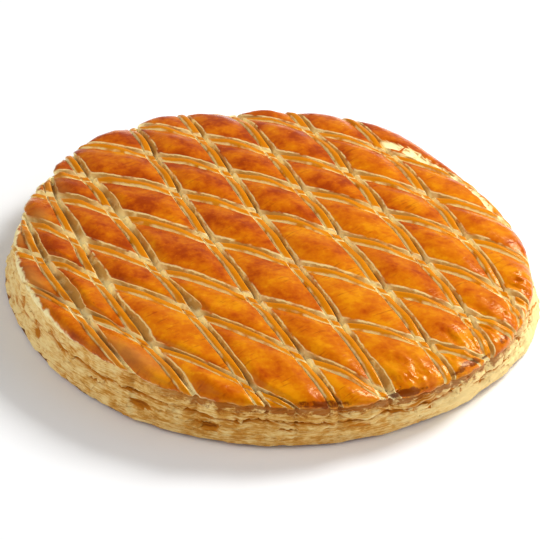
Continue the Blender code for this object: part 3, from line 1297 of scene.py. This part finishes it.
class Finish:
    """A material under way: its tree and the few nodes that every finish needs."""

    def __init__(self, name: str, roughness: float, ior: float, tint: str = "#ffffff") -> None:
        """Start a material with a plain shader, whose reflections have a tint."""
        self.material = bpy.data.materials.new(name)
        self.material.use_nodes = True
        self.tree = self.material.node_tree
        self.shader = self.tree.nodes["Principled BSDF"]
        self.shader.inputs["Roughness"].default_value = roughness
        self.shader.inputs["IOR"].default_value = ior
        self.shader.inputs["Specular Tint"].default_value = srgb(tint)
        self.place = add_node(self.tree, "ShaderNodeTexCoord", {}).outputs["Object"]

    def trait(self, name: str) -> bpy.types.NodeSocket:
        """A value that the piece carries at each point."""
        found = add_node(
            self.tree, "ShaderNodeAttribute", {}, attribute_name=name, attribute_type="GEOMETRY"
        )
        return found.outputs["Fac"]

    def mottle(
        self,
        size: float,
        detail: float = 3.0,
        stretch: tuple[float, float, float] | None = None,
        turn: float = 0.0,
    ) -> bpy.types.NodeSocket:
        """Cloudy noise.

        Args:
            size: how far apart its clouds are, in millimetres.
            detail: how many finer clouds are added.
            stretch: how much longer the clouds are along each axis.
            turn: the stretch's angle about Z, in degrees.

        Returns:
            The noise's value, 0 to 1.
        """
        place = self.place
        if stretch is not None:
            aligned = {"Vector": place, "Rotation": (0.0, 0.0, math.radians(-turn))}
            place = add_node(self.tree, "ShaderNodeMapping", aligned).outputs["Vector"]
            drawn = {"Vector": place, "Scale": tuple(1.0 / share for share in stretch)}
            place = add_node(self.tree, "ShaderNodeMapping", drawn).outputs["Vector"]
        made = add_node(
            self.tree,
            "ShaderNodeTexNoise",
            {"Vector": place, "Scale": 1.0 / (size * MM), "Detail": detail, "Roughness": 0.6},
        )
        return made.outputs["Fac"]

    def math(self, operation: str, first: object, second: object = 0.0) -> bpy.types.NodeSocket:
        """One sum of two values."""
        made = add_node(self.tree, "ShaderNodeMath", {0: first, 1: second}, operation=operation)
        return made.outputs[0]

    def share(self, value: object, size: float) -> bpy.types.NodeSocket:
        """A value times a number."""
        return self.math("MULTIPLY", value, size)

    def ramp(self, value: object, low: float, high: float) -> bpy.types.NodeSocket:
        """A smooth rise from 0 to 1 between two values."""
        made = add_node(
            self.tree,
            "ShaderNodeMapRange",
            {"Value": value, "From Min": low, "From Max": high},
            interpolation_type="SMOOTHSTEP",
        )
        return made.outputs[0]

    def blend(self, share: object, first: object, second: object) -> bpy.types.NodeSocket:
        """A colour between two, by a share."""
        made = add_node(
            self.tree, "ShaderNodeMix", {0: share, 6: first, 7: second}, data_type="RGBA"
        )
        return made.outputs[2]

    def bump(self, height: object, distance: float, strength: float) -> None:
        """Let a height in millimetres roughen the surface."""
        made = add_node(
            self.tree,
            "ShaderNodeBump",
            {"Height": height, "Distance": distance * MM, "Strength": strength},
        )
        self.tree.links.new(made.outputs["Normal"], self.shader.inputs["Normal"])


@dataclass(frozen=True)
class GlazedCrust:
    """Egg-washed puff pastry, brushed twice and baked to a deep, glossy orange.

    The wash browns unevenly, so the eye sees clouds of amber in burnt orange, with dark fine
    wrinkles, and painted light makes it more golden towards the right front.  It stops at the
    knife's cuts, where the pale, dry layers of the pastry show, and it's thin and creamy along
    their edges, where the cream is partly a painted highlight.
    """

    deep: str = "#a03a02"
    warm: str = "#bb5202"
    amber: str = "#cf6c02"
    gold: str = "#e08a04"
    wrinkle: str = "#933803"
    rail_core: str = "#d67e04"
    rail: str = "#e8980c"
    # Cream at the glaze's edges: partly thin wash, partly a painted highlight.
    thin_wash_and_highlight: str = "#ffeaa6"
    layers: str = "#c0904a"
    layers_pale: str = "#ffedb2"
    layers_deep: str = "#a9752f"
    bare: str = "#c07a34"
    scorched: str = "#6e2305"

    reflections: str = "#ffce84"
    brushed: float = 38.0

    def body(self, finish: Finish, grain: bpy.types.NodeSocket) -> bpy.types.NodeSocket:
        """The glaze's colour, away from its edges."""
        place = add_node(finish.tree, "ShaderNodeSeparateXYZ", {0: finish.place})
        # Painted light: the glaze is made more golden towards the right front, standing in for the
        # key light and its sheen from the right.
        across = finish.math("SUBTRACT", place.outputs[0], place.outputs[1])
        side = finish.share(finish.ramp(across, -0.12, 0.16), 0.16)
        shade = finish.math("ADD", finish.mottle(14.0), finish.share(grain, 0.3))
        tone = finish.math("ADD", side, finish.share(finish.trait("tone"), 0.045))
        shade = finish.math("ADD", shade, tone)
        body = srgb(self.deep)
        for low, high, colour in (
            (0.48, 0.66, self.warm),
            (0.60, 0.80, self.amber),
            (0.76, 0.98, self.gold),
        ):
            body = finish.blend(finish.ramp(shade, low, high), body, srgb(colour))
        streaks = finish.ramp(finish.mottle(1.5, 2.0, (9.0, 1.0, 4.0), self.brushed), 0.56, 0.70)
        patches = finish.ramp(finish.mottle(13.0, 1.0), 0.45, 0.62)
        streak = finish.share(finish.math("MULTIPLY", streaks, patches), 0.5)
        return finish.blend(streak, body, srgb(self.wrinkle))

    def layered(self, finish: Finish, creamy: bpy.types.NodeSocket) -> bpy.types.NodeSocket:
        """The colour of the cuts' dry layers, creamy where two cuts meet."""
        pale = finish.ramp(finish.mottle(7.0, 2.0), 0.50, 0.80)
        layers = finish.blend(pale, srgb(self.layers), srgb(self.layers_pale))
        deep = finish.share(finish.ramp(finish.mottle(3.5, 2.0), 0.54, 0.74), 0.6)
        layers = finish.blend(deep, layers, srgb(self.layers_deep))
        creamy = finish.math("MULTIPLY", creamy, finish.ramp(finish.mottle(5.0, 2.0), 0.20, 0.50))
        return finish.blend(creamy, layers, srgb(self.layers_pale))

    def railed(
        self, finish: Finish, grain: bpy.types.NodeSocket, body: bpy.types.NodeSocket
    ) -> bpy.types.NodeSocket:
        """The glaze's colour with its rails, more golden than the lozenges."""
        stroke = finish.trait("from_stroke")
        core = finish.ramp(finish.math("ADD", stroke, finish.share(grain, 0.5)), 0.9, 1.9)
        rail = finish.blend(0.85, body, finish.blend(core, srgb(self.rail_core), srgb(self.rail)))
        return finish.blend(finish.ramp(stroke, 2.2, 2.6), rail, body)

    def material(self) -> bpy.types.Material:
        """Build the finish."""
        finish = Finish("egg_washed_puff_pastry", 0.3, 1.34, self.reflections)
        grain = finish.mottle(2.6)
        body = self.railed(finish, grain, self.body(finish, grain))
        # The glaze's edges along rails and brows turn cream: partly the thin wash there, partly a
        # painted highlight where the brows catch the light.
        edge = finish.math("ADD", finish.trait("glazed"), finish.share(grain, 0.6))
        wash = finish.math("SUBTRACT", 1.0, finish.ramp(edge, 0.50, 0.95))
        thin = finish.ramp(finish.mottle(8.0, 2.0), 0.32, 0.54)
        wash = finish.share(finish.math("MULTIPLY", wash, thin), 0.9)
        body = finish.blend(wash, body, srgb(self.thin_wash_and_highlight))
        bare = finish.trait("bare")
        body = finish.blend(finish.share(bare, 0.8), body, srgb(self.bare))
        place = add_node(finish.tree, "ShaderNodeSeparateXYZ", {0: finish.place})
        from_edge = finish.trait("from_edge")
        at_rim = finish.math(
            "MULTIPLY", finish.ramp(place.outputs[0], 0.01, -0.06), finish.ramp(from_edge, 9.0, 3.0)
        )
        crossing = finish.ramp(finish.trait("from_crossing"), 3.5, 9.5)
        creamy = finish.math("MAXIMUM", finish.math("SUBTRACT", 1.0, crossing), at_rim)
        left = finish.share(finish.ramp(place.outputs[0], -0.08, -0.13), -7.0)
        rim = finish.math("ADD", from_edge, finish.share(finish.mottle(9.0), -3.6))
        rim = finish.math("ADD", rim, finish.math("MULTIPLY", finish.mottle(5.0, 4.0), left))
        cut = finish.math("MULTIPLY", finish.ramp(edge, 0.15, 0.35), finish.ramp(rim, -2.9, -1.3))
        colour = finish.blend(cut, self.layered(finish, creamy), body)
        burnt = finish.math("MULTIPLY", finish.trait("scorch"), finish.mottle(3.5, 4.0))
        burnt = finish.share(finish.ramp(burnt, 0.30, 0.50), 0.85)
        colour = finish.blend(burnt, colour, srgb(self.scorched))
        finish.tree.links.new(colour, finish.shader.inputs["Base Color"])
        matte = finish.math("MAXIMUM", finish.math("SUBTRACT", 1.0, cut), bare)
        dull = finish.math("ADD", finish.share(matte, 0.45), finish.share(grain, 0.25))
        finish.tree.links.new(finish.math("ADD", dull, 0.1), finish.shader.inputs["Roughness"])
        streaks = finish.mottle(1.5, 2.0, (7.0, 1.0, 4.0), self.brushed)
        height = finish.math("SUBTRACT", finish.share(grain, 0.5), finish.share(streaks, 0.5))
        finish.bump(height, 0.3, 0.9)
        return finish.material


@dataclass(frozen=True)
class LaminatedPastry:
    """Rolled and folded puff pastry, risen and dried in the oven, unglazed.

    Its sheets are pale and matte where they stand out, and golden to brown in the hollows,
    partly from browning and partly as painted shade.  Painted light makes the side lighter to
    the right and darker to the front.
    """

    cream: str = "#f4d794"
    tan: str = "#dfab58"
    toasted: str = "#c58430"
    golden: str = "#bf7315"
    hollow: str = "#8c4706"
    # Brown under the lid's edge at the front: partly dripped glaze, partly painted shadow under the
    # overhang.
    lip_drip_and_shadow: str = "#9a4c0a"
    # Brown at the foot: partly pastry browned against the tray, partly painted shade under the
    # foot's inward curve.
    browned: str = "#83460f"
    reflections: str = "#ffdca0"

    def material(self) -> bpy.types.Material:
        """Build the finish."""
        finish = Finish("laminated_puff_pastry", 0.7, 1.33, self.reflections)
        clouds = finish.mottle(8.0, 4.0)
        sheets = finish.mottle(0.8, 3.0, (7.0, 7.0, 0.9))
        place = add_node(finish.tree, "ShaderNodeSeparateXYZ", {0: finish.place})
        x, y = place.outputs[0], place.outputs[1]
        # Painted light: the side is made lighter towards the right, where the key light falls.
        painted_light_right = finish.share(finish.ramp(x, 0.02, 0.12), 0.15)
        # Painted shade: the side is made darker towards the front, away from the key light.
        painted_front_shade = finish.share(finish.ramp(y, -0.07, -0.13), -0.09)
        tone = finish.math("ADD", finish.share(clouds, 0.5), finish.share(sheets, 0.5))
        tone = finish.math("ADD", tone, finish.math("ADD", painted_light_right, painted_front_shade))
        recess = finish.math("ADD", finish.trait("recess"), finish.share(finish.mottle(6.0), 0.22))
        down = finish.math("ADD", finish.trait("down"), finish.share(finish.mottle(5.0), 0.08))
        colour = srgb(self.toasted)
        for value, low, high, next_colour in (
            (tone, 0.30, 0.46, self.tan),
            (tone, 0.38, 0.56, self.cream),
            # Golden to brown by recess: partly the pastry's browning, partly painted shade in
            # grooves and hollows.
            (recess, 0.35, 0.75, self.golden),
            (recess, 0.80, 1.4, self.hollow),
            # Brown at the foot: partly tray browning, partly painted shade.
            (down, 0.97, 1.04, self.browned),
        ):
            colour = finish.blend(finish.ramp(value, low, high), colour, srgb(next_colour))
        # A brown band under the lid's edge at the front: partly dripped glaze, partly painted
        # shadow under the lid's overhang.
        lip = finish.math("ADD", finish.share(finish.mottle(4.0), -0.6), 0.48)
        lip = finish.ramp(finish.math("SUBTRACT", down, lip), 0.06, -0.04)
        lip = finish.math("MULTIPLY", lip, finish.ramp(y, -0.02, -0.09))
        lip = finish.math("MULTIPLY", lip, finish.ramp(x, -0.08, -0.02))
        colour = finish.blend(finish.share(lip, 0.8), colour, srgb(self.lip_drip_and_shadow))
        finish.tree.links.new(colour, finish.shader.inputs["Base Color"])
        finish.bump(finish.math("ADD", sheets, finish.share(finish.mottle(1.4), 0.5)), 0.3, 0.6)
        return finish.material


@dataclass(frozen=True)
class TrayBrownedPastry:
    """The bottom sheet, fried brown in its own butter against the hot tray."""

    brown: str = "#935512"
    dark: str = "#6b3508"
    pale: str = "#b98240"

    def material(self) -> bpy.types.Material:
        """Build the finish."""
        finish = Finish("tray_browned_pastry", 0.6, 1.45)
        clouds = finish.mottle(14.0, 4.0)
        colour = finish.blend(finish.ramp(clouds, 0.35, 0.6), srgb(self.dark), srgb(self.brown))
        colour = finish.blend(finish.ramp(clouds, 0.58, 0.75), colour, srgb(self.pale))
        finish.tree.links.new(colour, finish.shader.inputs["Base Color"])
        finish.bump(finish.mottle(1.6), 0.3, 0.6)
        return finish.material


@dataclass(frozen=True)
class Studio:
    """A white table in a bright, soft studio, and the camera that looks down on the cake."""

    distance: float = 1.132
    elevation: float = 35.86
    roll: float = 2.32
    lens: float = 141.19
    target: tuple[float, float, float] = (-0.00062, -0.00611, 0.015)
    table_size: float = 3.0
    table_white: str = "#fbfbfb"
    sky_strength: float = 0.22
    lamp_distance: float = 1.2

    def table(self) -> None:
        """Lay the floor."""
        mesh = bmesh.new()
        bmesh.ops.create_grid(mesh, x_segments=4, y_segments=4, size=self.table_size)
        data = bpy.data.meshes.new("table")
        mesh.to_mesh(data)
        mesh.free()
        finish = Finish("white_table", 0.9, 1.45)
        finish.shader.inputs["Base Color"].default_value = srgb(self.table_white)
        data.materials.append(finish.material)
        floor = bpy.data.objects.new("table", data)
        bpy.context.scene.collection.objects.link(floor)

    def lamp(self, name: str, azimuth: float, height: float, size: float, power: float) -> None:
        """Hang a square soft light that faces the cake.

        Args:
            name: the lamp's name.
            azimuth: its direction from the cake, in degrees from +X towards +Y.
            height: its elevation in degrees.
            size: the length of its side, in metres.
            power: its power in watts.
        """
        data = bpy.data.lights.new(name, "AREA")
        data.shape = "SQUARE"
        data.size = size
        data.energy = power
        lamp = bpy.data.objects.new(name, data)
        turn = math.radians(azimuth)
        rise = math.radians(height)
        flat = math.cos(rise)
        way = Vector((math.cos(turn) * flat, math.sin(turn) * flat, math.sin(rise)))
        lamp.location = way * self.lamp_distance
        lamp.rotation_mode = "QUATERNION"
        lamp.rotation_quaternion = (-way).to_track_quat("-Z", "Y")
        bpy.context.scene.collection.objects.link(lamp)

    def sky(self) -> None:
        """Fill the room with even white light."""
        world = bpy.data.worlds.new("studio")
        world.use_nodes = True
        background = world.node_tree.nodes["Background"]
        background.inputs["Color"].default_value = (1.0, 1.0, 1.0, 1.0)
        background.inputs["Strength"].default_value = self.sky_strength
        bpy.context.scene.world = world

    def camera(self) -> None:
        """Set up the camera."""
        rise = math.radians(self.elevation)
        turn = math.radians(self.roll)
        back = Vector((0.0, -math.cos(rise), math.sin(rise)))
        right = Vector((1.0, 0.0, 0.0))
        up = back.cross(right)
        across = right * math.cos(turn) + up * math.sin(turn)
        upward = up * math.cos(turn) - right * math.sin(turn)
        axes = Matrix((across, upward, back)).transposed()
        data = bpy.data.cameras.new("camera")
        data.lens = self.lens
        data.sensor_width = 36.0
        camera = bpy.data.objects.new("camera", data)
        camera.matrix_world = Matrix.Translation(Vector(self.target) + back * self.distance) @ (
            axes.to_4x4()
        )
        bpy.context.scene.collection.objects.link(camera)
        bpy.context.scene.camera = camera

    def build(self) -> None:
        """Set up the studio."""
        self.table()
        self.sky()
        self.lamp("key", 36.0, 43.0, 0.4, 15.0)
        self.lamp("right", -20.0, 30.0, 0.9, 5.0)
        self.lamp("front", -150.0, 35.0, 1.2, 6.0)
        self.camera()
        bpy.context.scene.view_settings.view_transform = "Standard"


def main() -> None:
    """Bake the cake: lid, side and base, then set it on its table."""
    logging.basicConfig(level=logging.INFO, format="%(name)s: %(message)s")
    Studio().build()
    outline = Outline()
    _, rim = Lid(Dough(outline)).build(GlazedCrust().material())
    pastry = LaminatedPastry().material()
    side = Side(outline, rim)
    side.build(pastry)
    Flakes(side).build(pastry)
    Underside(outline).build(TrayBrownedPastry().material())


if __name__ == "__main__":
    main()
